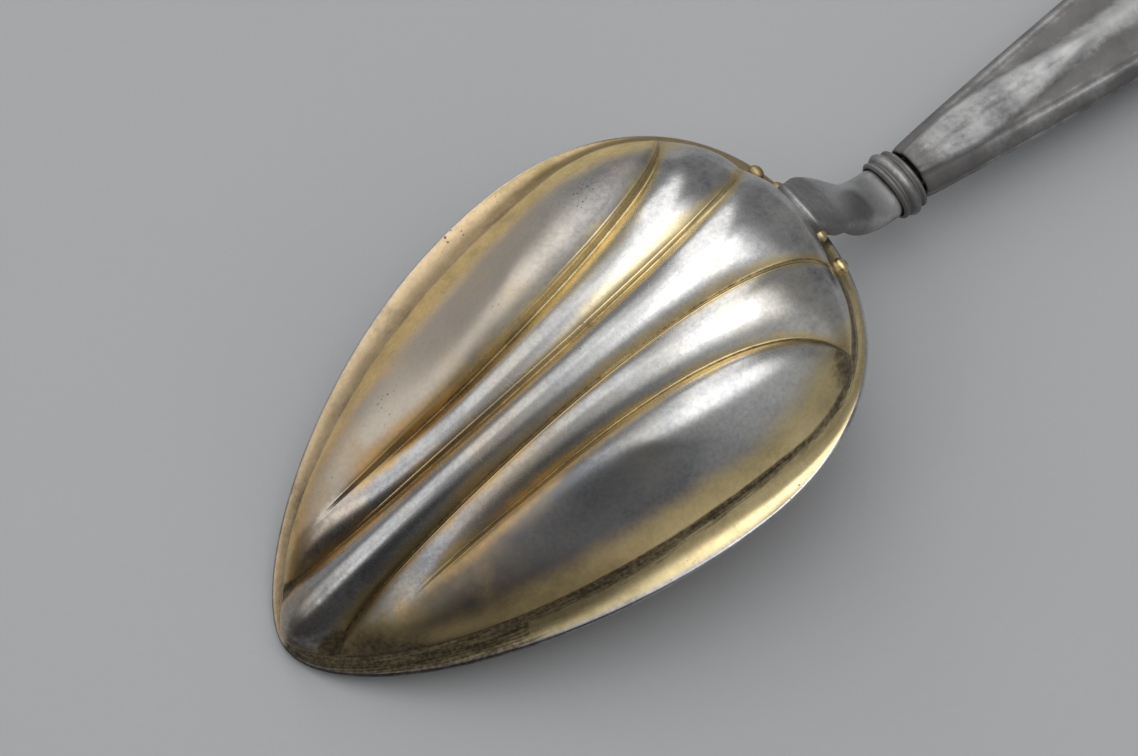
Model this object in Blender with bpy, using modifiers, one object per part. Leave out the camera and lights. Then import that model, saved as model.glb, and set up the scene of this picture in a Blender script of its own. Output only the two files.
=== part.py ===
"""Berry spoon with a gilt lobed bowl and a filled hollow handle, lying face down.

Metres, Z up, table at z = 0. X runs from the tip of the bowl to the end of the handle, Y runs across.
"""

import math

import bmesh
import bpy
from mathutils import Vector

# Bowl: pressed sheet, measured in its own frame from the tip, along, across and up from the rim's chord.
BOWL_LENGTH = 0.0754
BOWL_WIDTH = 0.0492
BOWL_DEPTH = 0.0122
BOWL_SHEET = 0.0010
BOWL_PITCH_DEG = 12.7
RIM_ARCH = 0.0044
FLANGE_TIP = 0.0013
FLANGE_SIDE = 0.0037
FLANGE_HEEL = 0.0020
FLANGE_RISE_TIP = 0.0010
FLANGE_RISE_SIDE = 0.0016
FLANGE_RISE_HEEL = 0.0034
FLANGE_FLARE_RATIO = 0.16
CENTRE_LOBE_RATIO = 0.23
INNER_LOBE_RATIO = 0.205
OUTER_LOBE_RATIO = 0.21

# Stem: a tongue lapped on the heel's flange, a bent shank, and a tang inside the handle.
TONGUE_WIDTH = 0.0084
TONGUE_THICKNESS = 0.0020
SHANK_RUN = 0.0120
SHANK_WIDTH = 0.0068
SHANK_THICKNESS = 0.0038
TANG_ROOT_WIDTH = 0.0043
TANG_ROOT_THICKNESS = 0.0029
TANG_SHOULDER = 0.0020
TANG_LENGTH = 0.0460
TANG_WIDTH = 0.0026
TANG_THICKNESS = 0.0022

# Collar: the ring at the mouth of the handle.
COLLAR_LENGTH = 0.0034
COLLAR_WIDTH = 0.0088
COLLAR_THICKNESS = 0.0064

# Handle: two struck half shells soldered edge to edge round a cement filling.
HANDLE_LENGTH = 0.1250
HANDLE_MOUTH_WIDTH = 0.0066
HANDLE_WIDTH = 0.0220
HANDLE_MOUTH_THICKNESS = 0.0050
HANDLE_THICKNESS = 0.0062
HANDLE_SHEET = 0.0006
SEAM_LIP = 0.0004
HANDLE_RIB = 0.0005
NECK_HEIGHT = 0.0078
END_HEIGHT = 0.0024

# Play left between pieces that fit together.
GAP = 0.0003

# Places along X that follow from the sizes, with the middle of the spoon at 0.
BOWL_REACH = BOWL_LENGTH * math.cos(math.radians(BOWL_PITCH_DEG))
OVERALL = BOWL_REACH + SHANK_RUN + COLLAR_LENGTH + 2.0 * GAP + HANDLE_LENGTH
MOUTH_X = OVERALL / 2 - HANDLE_LENGTH

# Shape of the outlines and grooves, as shares of the bowl's length, half width and depth.
RIM_SHAPE_RATIOS = (0.66, 0.37, 0.336, 0.855, 0.67)
FLANGE_SHAPE_RATIOS = (0.744, 0.267, 0.27, 0.883, 0.665)
GROOVE_1_BEND_RATIOS = ((0.21, 0.07, 0.80), (0.97, 0.03, 1.39))
GROOVE_2_BEND_RATIOS = ((0.28, 0.285, 0.62), (0.85, 0.20, 1.43))
TIP_MEET_RATIO_1 = 0.21
TIP_MEET_RATIO_2 = 0.285
HEEL_MEET_RATIO_1 = 1.78
HEEL_MEET_RATIO_2 = 1.45
END_ROUND_RATIO = 0.14
HEEL_ROUND_RATIO = 0.65
TIP_FULLNESS_RATIO = 0.55
OUTER_LEAN_RATIO = 0.3
OUTER_STEEP_RATIO = 0.72
OUTER_STEEP_LOW_RATIO = 0.55
OUTER_SHALLOW_RATIO = 0.60
INNER_STEEP_RATIO = 0.88

BOWL_STATIONS = 30
CENTRE_COLUMNS = 4
INNER_COLUMNS = 5
OUTER_COLUMNS = 8
FLANGE_RINGS = 3
HANDLE_STATIONS = 40
HANDLE_COLUMNS = 16
RING_POINTS = 20


def clear_scene():
    for old in list(bpy.data.objects):
        bpy.data.objects.remove(old)


def collection(name):
    made = bpy.data.collections.new(name)
    bpy.context.scene.collection.children.link(made)
    return made


def material(name, colour, metallic, roughness):
    made = bpy.data.materials.new(name)
    made.use_nodes = True
    shader = made.node_tree.nodes["Principled BSDF"]
    shader.inputs["Base Color"].default_value = (*colour, 1.0)
    shader.inputs["Metallic"].default_value = metallic
    shader.inputs["Roughness"].default_value = roughness
    return made


def mesh_object(name, bm, surface, home):
    mesh = bpy.data.meshes.new(name)
    bm.to_mesh(mesh)
    bm.free()
    for face in mesh.polygons:
        face.use_smooth = True
    made = bpy.data.objects.new(name, mesh)
    home.objects.link(made)
    made.data.materials.append(surface)
    return made


def as_cutter(made):
    made.hide_render = True
    made.display_type = "WIRE"


def cut(made, cutter):
    boolean = made.modifiers.new("Clearance", "BOOLEAN")
    boolean.operation = "DIFFERENCE"
    boolean.solver = "EXACT"
    boolean.object = cutter


def bezier(a, b, c, d, t):
    r = 1.0 - t
    return a * r**3 + b * (3 * r * r * t) + c * (3 * r * t * t) + d * t**3


def smooth(t):
    t = min(1.0, max(0.0, t))
    return t * t * (3.0 - 2.0 * t)


def blunt(t):
    """Rise of a rounded end: 0 at the end itself, 1 from t = 1 on."""
    t = min(1.0, max(0.0, t))
    return math.sqrt(1.0 - (1.0 - t) ** 2)


# Bowl surface. An outline runs from tau = 0 at the tip, through 1 at the widest place, to 2 at the heel.


def outline(tau, tip, heel, half, shape):
    widest, tip_round, tip_run, heel_run, heel_round = shape
    middle = Vector((widest * BOWL_LENGTH, half))
    if tau <= 1.0:
        first = Vector((tip, tip_round * half))
        second = Vector((tip_run * BOWL_LENGTH, half))
        return bezier(Vector((tip, 0.0)), first, second, middle, tau)
    first = Vector((heel_run * BOWL_LENGTH, half))
    second = Vector((heel, heel_round * half))
    return bezier(middle, first, second, Vector((heel, 0.0)), tau - 1.0)


def rim(tau):
    at = outline(tau, 0.0, BOWL_LENGTH, BOWL_WIDTH / 2, RIM_SHAPE_RATIOS)
    return Vector((at.x, at.y, RIM_ARCH * math.sin(math.pi * at.x / BOWL_LENGTH)))


def flange_groove(tau):
    heel, half = BOWL_LENGTH - FLANGE_HEEL, BOWL_WIDTH / 2 - FLANGE_SIDE
    at = outline(tau, FLANGE_TIP, heel, half, FLANGE_SHAPE_RATIOS)
    ends = abs(math.cos(math.pi * tau / 2)) ** 3
    rise_end = FLANGE_RISE_TIP if tau < 1.0 else FLANGE_RISE_HEEL
    rise = FLANGE_RISE_SIDE + (rise_end - FLANGE_RISE_SIDE) * ends
    return Vector((at.x, at.y, rim(tau).z + rise))


def groove(bend, start, finish, s):
    ends = (flange_groove(start), flange_groove(finish))
    middle = [Vector((a * BOWL_LENGTH, b * BOWL_WIDTH / 2, c * BOWL_DEPTH)) for a, b, c in bend]
    return bezier(ends[0], middle[0], middle[1], ends[1], s)


def groove_1(s):
    return groove(GROOVE_1_BEND_RATIOS, TIP_MEET_RATIO_1, HEEL_MEET_RATIO_1, s)


def merged(s):
    """1 near the tip, where the two side lobes are one rounded form, and 0 where a groove parts them."""
    return 1.0 - smooth((s - 0.06) / 0.36)


def groove_2(s):
    at = groove(GROOVE_2_BEND_RATIOS, TIP_MEET_RATIO_2, HEEL_MEET_RATIO_2, s)
    inside = groove_1(s)
    span = (side_line(s) - inside).length
    across = min(1.0, (at - inside).length / span)
    lift = OUTER_LOBE_RATIO * span * 4.0 * across * (1.0 - across) * merged(s)
    return at + Vector((0.0, 0.0, lift))


def side_share(s):
    """How far across the whole side the outer groove lies."""
    whole = (side_line(s) - groove_1(s)).length
    return min(1.0, (groove_2(s) - groove_1(s)).length / whole)


def side_tau(s):
    return TIP_MEET_RATIO_2 + (HEEL_MEET_RATIO_2 - TIP_MEET_RATIO_2) * s**0.7


def side_line(s):
    return flange_groove(side_tau(s))


def upward(along, across):
    normal = along.cross(across)
    if normal.length < 1e-12:
        return Vector((0.0, 0.0, 1.0))
    normal.normalize()
    return normal if normal.z > 0 else -normal


def slope(line, s):
    return line(min(1.0, s + 0.01)) - line(max(0.0, s - 0.01))


def between(start, finish, q):
    """How far the flange's groove bows away from the straight line between two of its points."""
    chord = flange_groove(start).lerp(flange_groove(finish), q)
    return flange_groove(start + (finish - start) * q) - chord


def heel_fall(s):
    """How the lobes fall off in a round slope where they reach the heel."""
    return blunt((1.0 - s) / HEEL_ROUND_RATIO)


def swell(s, q, low, steep):
    """Height of a lobe across its width, from 0 to 1; a lower power makes a steeper bank at q = 0."""
    power = low + (steep - low) * smooth((s - 0.3) / 0.4)
    u = q ** (1.0 - (1.0 - power) * smooth((s - 0.1) / 0.16))
    return 4.0 * u * (1.0 - u)


def centre_lobe(s, q):
    """Half of the middle lobe: q = 0 on its crest, 1 in the inner groove."""
    edge = groove_1(s)
    at = Vector((edge.x, edge.y * q, edge.z))
    along = slope(groove_1, s)
    along.y = 0.0
    full = CENTRE_LOBE_RATIO * (1.0 + TIP_FULLNESS_RATIO * (1.0 - smooth(s / 0.55)))
    rise = full * 2.0 * edge.y * (1.0 - q * q) * blunt(s / 0.07) * heel_fall(s)
    at += upward(along, Vector((0.0, 1.0, 0.0))) * rise
    tip, heel = groove_1(0.0), groove_1(1.0)
    tip_end = flange_groove(TIP_MEET_RATIO_1 * q) - Vector((tip.x, tip.y * q, tip.z))
    heel_end = flange_groove(2.0 - (2.0 - HEEL_MEET_RATIO_1) * q) - Vector((heel.x, heel.y * q, heel.z))
    return at + tip_end * (1.0 - smooth(s / 0.1)) + heel_end * smooth((s - 0.8) / 0.2)


def inner_lobe(s, q):
    a, b = groove_1(s), groove_2(s)
    share = INNER_LOBE_RATIO + (OUTER_LOBE_RATIO * side_share(s) - INNER_LOBE_RATIO) * merged(s)
    fullness = swell(s, q, INNER_STEEP_RATIO, INNER_STEEP_RATIO) * smooth(s / 0.1) * heel_fall(s)
    rise = share * (b - a).length * fullness
    at = a.lerp(b, q) + upward(slope(groove_1, s) + slope(groove_2, s), b - a) * rise
    at += between(TIP_MEET_RATIO_1, TIP_MEET_RATIO_2, q) * (1.0 - smooth(s / 0.1))
    return at + between(HEEL_MEET_RATIO_1, HEEL_MEET_RATIO_2, q) * smooth((s - 0.8) / 0.2)


def outer_lobe(s, q):
    """The side lobe leans to its groove, is shallower in its lower half and sweeps out to the flange."""
    a, b = groove_2(s), side_line(s)
    shallow = OUTER_SHALLOW_RATIO * (1.0 - merged(s)) * (1.0 - smooth((s - 0.2) / 0.45))
    share = OUTER_LOBE_RATIO * (1.0 - side_share(s) * merged(s)) * (1.0 - shallow)
    lean = 1.0 + OUTER_LEAN_RATIO * (1.0 - merged(s)) * (1.0 - 2.0 * q)
    rise = share * (b - a).length * swell(s, q, OUTER_STEEP_LOW_RATIO, OUTER_STEEP_RATIO) * lean
    return a.lerp(b, q) + upward(slope(groove_2, s) + slope(side_line, s), b - a) * rise


def flange(inside, tau, q):
    """From the groove round the lobes out to the rim, dished so that it flares."""
    edge = rim(tau)
    dip = FLANGE_FLARE_RATIO * (edge - inside).length * 4.0 * q * (1.0 - q)
    return inside.lerp(edge, q) - Vector((0.0, 0.0, dip))


def add_patch(bm, rows):
    verts = [[bm.verts.new(at) for at in row] for row in rows]
    for row, after in zip(verts, verts[1:]):
        for a, b, c, d in zip(row, row[1:], after[1:], after):
            bm.faces.new((a, b, c, d))


def stations(count):
    """Shares from 0 to 1, closer together at both ends."""
    steps = [i / count for i in range(count + 1)]
    return [t - 0.10 * math.sin(2.0 * math.pi * t) for t in steps]


def bowl_half_surface():
    bm = bmesh.new()
    along = stations(BOWL_STATIONS)
    columns = [i / CENTRE_COLUMNS for i in range(CENTRE_COLUMNS + 1)]
    add_patch(bm, [[centre_lobe(s, q) for q in columns] for s in along])
    columns_2 = [i / INNER_COLUMNS for i in range(INNER_COLUMNS + 1)]
    add_patch(bm, [[inner_lobe(s, q) for q in columns_2] for s in along])
    columns_3 = [i / OUTER_COLUMNS for i in range(OUTER_COLUMNS + 1)]
    add_patch(bm, [[outer_lobe(s, q) for q in columns_3] for s in along])
    taus = [TIP_MEET_RATIO_1 * q for q in columns]
    taus += [TIP_MEET_RATIO_1 + (TIP_MEET_RATIO_2 - TIP_MEET_RATIO_1) * q for q in columns_2[1:-1]]
    taus += [side_tau(s) for s in along]
    taus += [HEEL_MEET_RATIO_2 + (HEEL_MEET_RATIO_1 - HEEL_MEET_RATIO_2) * q for q in columns_2[1:]]
    taus += [HEEL_MEET_RATIO_1 + (2.0 - HEEL_MEET_RATIO_1) * q for q in columns[1:]]
    rings = [i / FLANGE_RINGS for i in range(FLANGE_RINGS + 1)]
    add_patch(bm, [[flange(flange_groove(tau), tau, q) for q in rings] for tau in taus])
    bmesh.ops.remove_doubles(bm, verts=bm.verts, dist=1e-5)
    return bm


def bowl_to_world(at):
    pitch = math.radians(BOWL_PITCH_DEG)
    cos, sin = math.cos(pitch), math.sin(pitch)
    x = at.x * cos - at.z * sin - OVERALL / 2
    z = at.x * sin + at.z * cos + BOWL_SHEET * cos
    return Vector((x, at.y, z))


def make_bowl(surface, home):
    bm = bowl_half_surface()
    bmesh.ops.recalc_face_normals(bm, faces=bm.faces)
    grown = bmesh.ops.extrude_face_region(bm, geom=list(bm.faces))
    under = [v for v in grown["geom"] if isinstance(v, bmesh.types.BMVert)]
    bmesh.ops.translate(bm, verts=under, vec=(0.0, 0.0, -BOWL_SHEET))
    middle = [f for f in bm.faces if all(abs(v.co.y) < 1e-7 for v in f.verts)]
    bmesh.ops.delete(bm, geom=middle, context="FACES_ONLY")
    bmesh.ops.recalc_face_normals(bm, faces=bm.faces)
    for vert in bm.verts:
        vert.co = bowl_to_world(vert.co)
    bowl = mesh_object("bowl", bm, surface, home)
    mirror = bowl.modifiers.new("Other side", "MIRROR")
    mirror.use_axis = (False, True, False)
    mirror.merge_threshold = 0.00001
    return bowl


# Stem, collar and handle, in the table's frame.


def loft(name, sections, surface, home):
    """One closed body through rings of points, with both ends capped."""
    bm = bmesh.new()
    rings = [[bm.verts.new(at) for at in ring] for ring in sections]
    count = len(rings[0])
    for ring, after in zip(rings, rings[1:]):
        for i in range(count):
            j = (i + 1) % count
            bm.faces.new((ring[i], ring[j], after[j], after[i]))
    bm.faces.new(list(reversed(rings[0])))
    bm.faces.new(rings[-1])
    bmesh.ops.recalc_face_normals(bm, faces=bm.faces)
    return mesh_object(name, bm, surface, home)


def oval(centre, along, width, thickness, square=2.0):
    """A ring across the way the stem runs; a higher square gives flatter sides."""
    up = Vector((-along.z, 0.0, along.x)).normalized()
    ring = []
    for i in range(RING_POINTS):
        turn = 2.0 * math.pi * (i + 0.5) / RING_POINTS
        c, s = math.cos(turn), math.sin(turn)
        y = math.copysign(abs(c) ** (2.0 / square), c) * width / 2
        z = math.copysign(abs(s) ** (2.0 / square), s) * thickness / 2
        ring.append(centre + Vector((0.0, y, 0.0)) + up * z)
    return ring


def handle_height(k):
    return NECK_HEIGHT + (END_HEIGHT - NECK_HEIGHT) * k


def handle_point(k):
    return Vector((MOUTH_X + HANDLE_LENGTH * k, 0.0, handle_height(k)))


def handle_end(k):
    return blunt((1.0 - k) / END_ROUND_RATIO)


def handle_half_width(k):
    grow = math.sin(k**0.9 * math.pi / 2)
    return (HANDLE_MOUTH_WIDTH + (HANDLE_WIDTH - HANDLE_MOUTH_WIDTH) * grow) / 2 * handle_end(k)


def handle_half_thickness(k):
    grow = smooth(k / 0.4)
    return (HANDLE_MOUTH_THICKNESS + (HANDLE_THICKNESS - HANDLE_MOUTH_THICKNESS) * grow) / 2 * handle_end(k)


def stem_path():
    """Centre line with its direction: the tongue on the flange, the bent shank, then the straight tang."""
    top = bowl_to_world(flange_groove(2.0))
    edge = bowl_to_world(rim(2.0))
    fall = (edge - top).normalized()
    out = Vector((-fall.z, 0.0, fall.x))
    lift = out * (TONGUE_THICKNESS / 2 + GAP)
    start = edge + lift
    neck = Vector((MOUTH_X - COLLAR_LENGTH - GAP, 0.0, NECK_HEIGHT))
    bend = 0.45 * (neck - start).length
    level = (handle_point(0.1) - handle_point(0.0)).normalized()
    points = [(top + lift, fall), (top.lerp(edge, 0.5) + lift, fall)]
    for i in range(13):
        t = i / 12
        at = bezier(start, start + fall * bend, neck - level * bend, neck, t)
        ahead = bezier(start, start + fall * bend, neck - level * bend, neck, t + 0.01)
        points.append((at, ahead - at))
    return points, level


def stem_sections(extra):
    path, level = stem_path()
    sections = []
    for i, (at, along) in enumerate(path):
        share = smooth((i - 1) / 8)
        width = TONGUE_WIDTH + (SHANK_WIDTH - TONGUE_WIDTH) * share
        thickness = TONGUE_THICKNESS + (SHANK_THICKNESS - TONGUE_THICKNESS) * share
        if i == 0:
            width *= 0.7
        sections.append(oval(at, along, width + extra, thickness + extra, 2.6))
    neck = path[-1][0]
    through = neck + level * (COLLAR_LENGTH + 2.0 * GAP)
    sections.append(oval(through, level, TANG_ROOT_WIDTH + extra, TANG_ROOT_THICKNESS + extra))
    shoulder = through + level * TANG_SHOULDER
    sections.append(oval(shoulder, level, TANG_WIDTH + extra, TANG_THICKNESS + extra))
    finish = through + level * (TANG_LENGTH + extra / 2)
    sections.append(oval(finish, level, TANG_WIDTH * 0.7 + extra, TANG_THICKNESS * 0.7 + extra))
    return sections


def make_collar(surface, home, cutters):
    level = (handle_point(0.1) - handle_point(0.0)).normalized()
    start = Vector((MOUTH_X - COLLAR_LENGTH - GAP, 0.0, NECK_HEIGHT))
    sections = []
    for i in range(9):
        t = i / 8
        full = 0.84 + 0.16 * math.sin(math.pi * t)
        centre = start + level * COLLAR_LENGTH * t
        sections.append(oval(centre, level, COLLAR_WIDTH * full, COLLAR_THICKNESS * full))
    collar = loft("collar", sections, surface, home)
    bore = loft("collar_bore", stem_sections(2.0 * GAP), surface, cutters)
    as_cutter(bore)
    cut(collar, bore)
    return bore


def handle_skin(k, turn, side):
    """A point of the outer skin; side is 1 for the back, which lies upwards, and -1 for the front."""
    half, tall = handle_half_width(k), handle_half_thickness(k)
    across = math.cos(turn)
    height = GAP / 2 + SEAM_LIP + tall * math.sin(turn)
    if side > 0:
        crest = math.exp(-((across / 0.22) ** 2)) - 0.6 * math.exp(-(((abs(across) - 0.5) / 0.2) ** 2))
        height += HANDLE_RIB * crest * handle_end(k) * smooth(k / 0.15)
    at = handle_point(k)
    return Vector((at.x, half * across, max(0.0, at.z + side * height)))


def handle_seam(k, across, side):
    """The foot of the upright lip along which the two shells are soldered."""
    at = handle_point(k)
    return Vector((at.x, handle_half_width(k) * across, at.z + side * GAP / 2))


def make_handle_shell(name, side, surface, home):
    bm = bmesh.new()
    steps = [i / HANDLE_STATIONS for i in range(HANDLE_STATIONS + 1)]
    turns = [math.pi * i / HANDLE_COLUMNS for i in range(HANDLE_COLUMNS + 1)]
    rows = []
    for k in [1.0 - (1.0 - t) ** 2 for t in steps]:
        skin = [handle_skin(k, turn, side) for turn in turns]
        rows.append([handle_seam(k, 1.0, side), *skin, handle_seam(k, -1.0, side)])
    add_patch(bm, rows)
    bmesh.ops.remove_doubles(bm, verts=bm.verts, dist=1e-6)
    bmesh.ops.recalc_face_normals(bm, faces=bm.faces)
    if sum(f.normal.z * f.calc_area() for f in bm.faces) * side < 0:
        bmesh.ops.reverse_faces(bm, faces=bm.faces)
    shell = mesh_object(name, bm, surface, home)
    wall = shell.modifiers.new("Sheet", "SOLIDIFY")
    wall.thickness = HANDLE_SHEET
    wall.offset = -1.0
    return shell


def make_filling(surface, home, bore):
    inset = HANDLE_SHEET + GAP
    sections = []
    for i in range(HANDLE_STATIONS // 2 + 1):
        k = 0.01 + 0.975 * (1.0 - (1.0 - 2 * i / HANDLE_STATIONS) ** 1.5)
        half = handle_half_width(k) - inset
        tall = min(handle_half_thickness(k) - 0.6 * HANDLE_RIB, handle_height(k) - SEAM_LIP) - inset
        level = Vector((1.0, 0.0, 0.0))
        sections.append(oval(handle_point(k), level, 2.0 * half, 2.0 * tall))
    filling = loft("handle_filling", sections, surface, home)
    cut(filling, bore)
    return filling


clear_scene()

spoon = collection("berry_spoon")
cutters = collection("cutters")

gilt = material("gilt", (0.72, 0.52, 0.22), 1.0, 0.25)
silver = material("silver", (0.70, 0.69, 0.66), 1.0, 0.28)
stem_silver = material("stem_silver", (0.66, 0.65, 0.62), 1.0, 0.30)
collar_silver = material("collar_silver", (0.72, 0.71, 0.68), 1.0, 0.26)
front_silver = material("front_silver", (0.70, 0.69, 0.66), 1.0, 0.28)
cement = material("cement", (0.16, 0.11, 0.07), 0.0, 0.7)

make_bowl(gilt, spoon)
loft("stem", stem_sections(0.0), stem_silver, spoon)
bore = make_collar(collar_silver, spoon, cutters)
make_handle_shell("handle_back", 1, silver, spoon)
make_handle_shell("handle_front", -1, front_silver, spoon)
make_filling(cement, spoon, bore)
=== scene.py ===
# %% [markdown]
# # A berry spoon, lying face down
# A berry spoon is a serving spoon with a broad bowl pressed into lobes like a fruit. This one is silver with
# a thin wash of gold on the bowl, old enough that the gold has worn off the crests and tarnish has settled
# in the grooves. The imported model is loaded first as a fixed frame: it says where every piece is, and its
# box is kept to compare with the dressed spoon at the end.

import math

import bmesh
import bpy
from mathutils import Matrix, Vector


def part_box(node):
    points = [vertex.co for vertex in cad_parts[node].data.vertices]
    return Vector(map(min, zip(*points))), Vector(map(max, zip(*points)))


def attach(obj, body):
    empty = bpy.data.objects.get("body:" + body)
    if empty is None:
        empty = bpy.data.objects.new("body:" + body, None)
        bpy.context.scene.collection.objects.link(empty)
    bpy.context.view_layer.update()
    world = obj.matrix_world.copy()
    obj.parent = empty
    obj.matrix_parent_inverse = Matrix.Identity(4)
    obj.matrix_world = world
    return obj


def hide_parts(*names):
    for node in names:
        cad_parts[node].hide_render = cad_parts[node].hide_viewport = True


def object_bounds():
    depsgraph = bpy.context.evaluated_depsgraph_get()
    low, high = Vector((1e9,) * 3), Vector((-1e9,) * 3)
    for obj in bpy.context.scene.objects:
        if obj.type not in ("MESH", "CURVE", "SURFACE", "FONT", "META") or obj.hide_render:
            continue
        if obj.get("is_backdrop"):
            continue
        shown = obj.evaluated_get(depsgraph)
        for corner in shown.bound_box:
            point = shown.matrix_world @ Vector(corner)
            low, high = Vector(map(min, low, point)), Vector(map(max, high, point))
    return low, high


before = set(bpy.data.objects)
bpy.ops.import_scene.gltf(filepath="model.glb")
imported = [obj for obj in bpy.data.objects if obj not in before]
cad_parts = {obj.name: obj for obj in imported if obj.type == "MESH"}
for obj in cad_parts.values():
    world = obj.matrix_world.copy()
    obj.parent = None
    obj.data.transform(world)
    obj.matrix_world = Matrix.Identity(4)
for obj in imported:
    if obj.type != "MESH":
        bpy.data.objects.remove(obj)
cad_low, cad_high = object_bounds()
bpy.context.scene.view_settings.view_transform = "Standard"


def in_mm(values):
    return [round(value * 1000, 1) for value in values]


def size_mm(low, high):
    return in_mm(b - a for a, b in zip(low, high))


print("CAD nodes:", sorted(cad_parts))
print("CAD box in mm:", size_mm(cad_low, cad_high))

# %% [markdown]
# ## Camera
# The photographer stood over the tip of the bowl, a little to one side, with a long lens close to the table.
# The place, the aim and the focal length below put the rim, the grooves and the handle where the photograph
# has them.

# %% Camera
CAMERA_AT = Vector((-0.13624, -0.08792, 0.28095))
CAMERA_AIM = Vector((-0.06551, 0.0026, 0.0120))
CAMERA_LENS = 83.84

camera_data = bpy.data.cameras.new("camera")
camera_data.lens = CAMERA_LENS
camera_data.sensor_width = 36.0
camera_data.sensor_fit = "HORIZONTAL"
camera_data.clip_start = 0.01
camera = bpy.data.objects.new("camera", camera_data)
camera.location = CAMERA_AT
camera.rotation_euler = (CAMERA_AIM - CAMERA_AT).to_track_quat("-Z", "Y").to_euler()
bpy.context.scene.collection.objects.link(camera)
bpy.context.scene.camera = camera
print("camera stands", round((CAMERA_AIM - CAMERA_AT).length * 1000), "mm from its aim")

# %% [markdown]
# ## Node helpers
# A material is a tree of small steps. These helpers keep each step on one line: a node with its settings, a
# sum, a soft step from 0 to 1 between two values, and a mix of two colours. Most of them are given the
# outputs of other nodes and find the tree to work in from those.


# %% Node helpers
def put(tree, kind, inputs=None, **settings):
    """A new node of one kind; inputs maps a socket to a number, a colour or another node's output."""
    made = tree.nodes.new(kind)
    for name, value in settings.items():
        setattr(made, name, value)
    for socket, value in (inputs or {}).items():
        if isinstance(value, bpy.types.NodeSocket):
            tree.links.new(value, made.inputs[socket])
        else:
            made.inputs[socket].default_value = value
    return made


def tree_of(*values):
    """The node tree that holds the first socket among some values."""
    return next(value.id_data for value in values if isinstance(value, bpy.types.NodeSocket))


def calc(operation, a, b=0.0):
    return put(tree_of(a, b), "ShaderNodeMath", {0: a, 1: b}, operation=operation).outputs[0]


def soft_step(value, low, high):
    """0 up to low, 1 from high on, and a smooth rise between them."""
    inputs = {"Value": value, "From Min": low, "From Max": high}
    made = put(tree_of(value), "ShaderNodeMapRange", inputs, interpolation_type="SMOOTHSTEP")
    return made.outputs["Result"]


def rest_of(share):
    return calc("SUBTRACT", 1.0, share)


def soft_fall(value, low, high):
    return rest_of(soft_step(value, low, high))


def largest(first, *more):
    for value in more:
        first = calc("MAXIMUM", first, value)
    return first


def product(first, *more):
    for value in more:
        first = calc("MULTIPLY", first, value)
    return first


def summed(first, *more):
    for value in more:
        first = calc("ADD", first, value)
    return first


def blend_colour(share, a, b):
    inputs = {"Factor": share, 6: a, 7: b}
    return put(tree_of(share), "ShaderNodeMix", inputs, data_type="RGBA").outputs[2]


def field(tree, name):
    """A number that the mesh carries at each of its points."""
    return put(tree, "ShaderNodeAttribute", attribute_name=name).outputs["Fac"]


def noise(where, scale, detail=4.0, roughness=0.55):
    inputs = {"Vector": where, "Scale": scale, "Detail": detail, "Roughness": roughness}
    return put(tree_of(where), "ShaderNodeTexNoise", inputs).outputs["Fac"]


def new_material(name):
    """A new material, its shader and the place of each point on the piece."""
    made = bpy.data.materials.new(name)
    made.use_nodes = True
    where = put(made.node_tree, "ShaderNodeTexCoord").outputs["Object"]
    return made, made.node_tree.nodes["Principled BSDF"], where


def feed(shader, name, value):
    shader.id_data.links.new(value, shader.inputs[name])


def emboss(shader, height, distance=0.001, strength=1.0):
    """Shades a piece as if its surface had this height; distance is the height of 1 in metres."""
    inputs = {"Height": height, "Distance": distance, "Strength": strength}
    feed(shader, "Normal", put(shader.id_data, "ShaderNodeBump", inputs).outputs["Normal"])


# %% [markdown]
# ## Floor
# The spoon lies on a sheet of pale grey card. One large plane is enough, because the camera looks down on
# it; a faint fibre pattern in its colour and height keeps it from looking like a painted wall.

# %% Floor
CARD_PALE = (0.455, 0.460, 0.470, 1.0)
CARD_DULL = (0.425, 0.430, 0.440, 1.0)

bpy.ops.mesh.primitive_plane_add(size=8.0, location=(0.0, 0.0, -0.0002))
floor = bpy.context.object
floor.name = "floor"
card, shader, where = new_material("grey_card")
fibre = noise(where, 900.0, 5.0)
cloud = noise(where, 30.0, 2.0)
mixed = product(summed(fibre, cloud), 0.5)
feed(shader, "Base Color", blend_colour(mixed, CARD_DULL, CARD_PALE))
shader.inputs["Roughness"].default_value = 0.9
shader.inputs["Specular IOR Level"].default_value = 0.2
emboss(shader, fibre, 0.00005, 0.6)
floor.data.materials.append(card)
floor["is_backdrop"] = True
print("floor", [round(v, 2) for v in floor.dimensions])

# %% [markdown]
# ## Light
# Polished metal is mostly a picture of the room, so the light decides how the lobes read. A tall soft lamp
# stands on the far side of the spoon, and a broad one hangs over it in a window of light whose edges fade
# out, so the shadow on the card stays short and soft. The room itself is grey: pale to the left of the tip,
# a little paler on the near side of the heel, and darkest on the near side of the tip, which is what makes
# the lower half of the lobes dark.

# %% Lamps and room
SPOON_MIDDLE = Vector((-0.06, 0.0, 0.01))


def heading(azimuth, elevation):
    """A direction from the spoon, in degrees round from +X towards +Y and up from the table."""
    turn, rise = math.radians(azimuth), math.radians(elevation)
    return Vector((math.cos(turn) * math.cos(rise), math.sin(turn) * math.cos(rise), math.sin(rise)))


def soft_lamp(name, azimuth, elevation, distance, width, height, glow):
    """A lamp that faces the spoon; glow is how bright its face looks."""
    away = heading(azimuth, elevation)
    data = bpy.data.lights.new(name, "AREA")
    data.shape = "RECTANGLE"
    data.size = width
    data.size_y = height
    data.energy = glow * math.pi * width * height
    lamp = bpy.data.objects.new(name, data)
    lamp.location = SPOON_MIDDLE + away * distance
    lamp.rotation_euler = (-away).to_track_quat("-Z", "Y").to_euler()
    bpy.context.scene.collection.objects.link(lamp)
    return lamp


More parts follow.
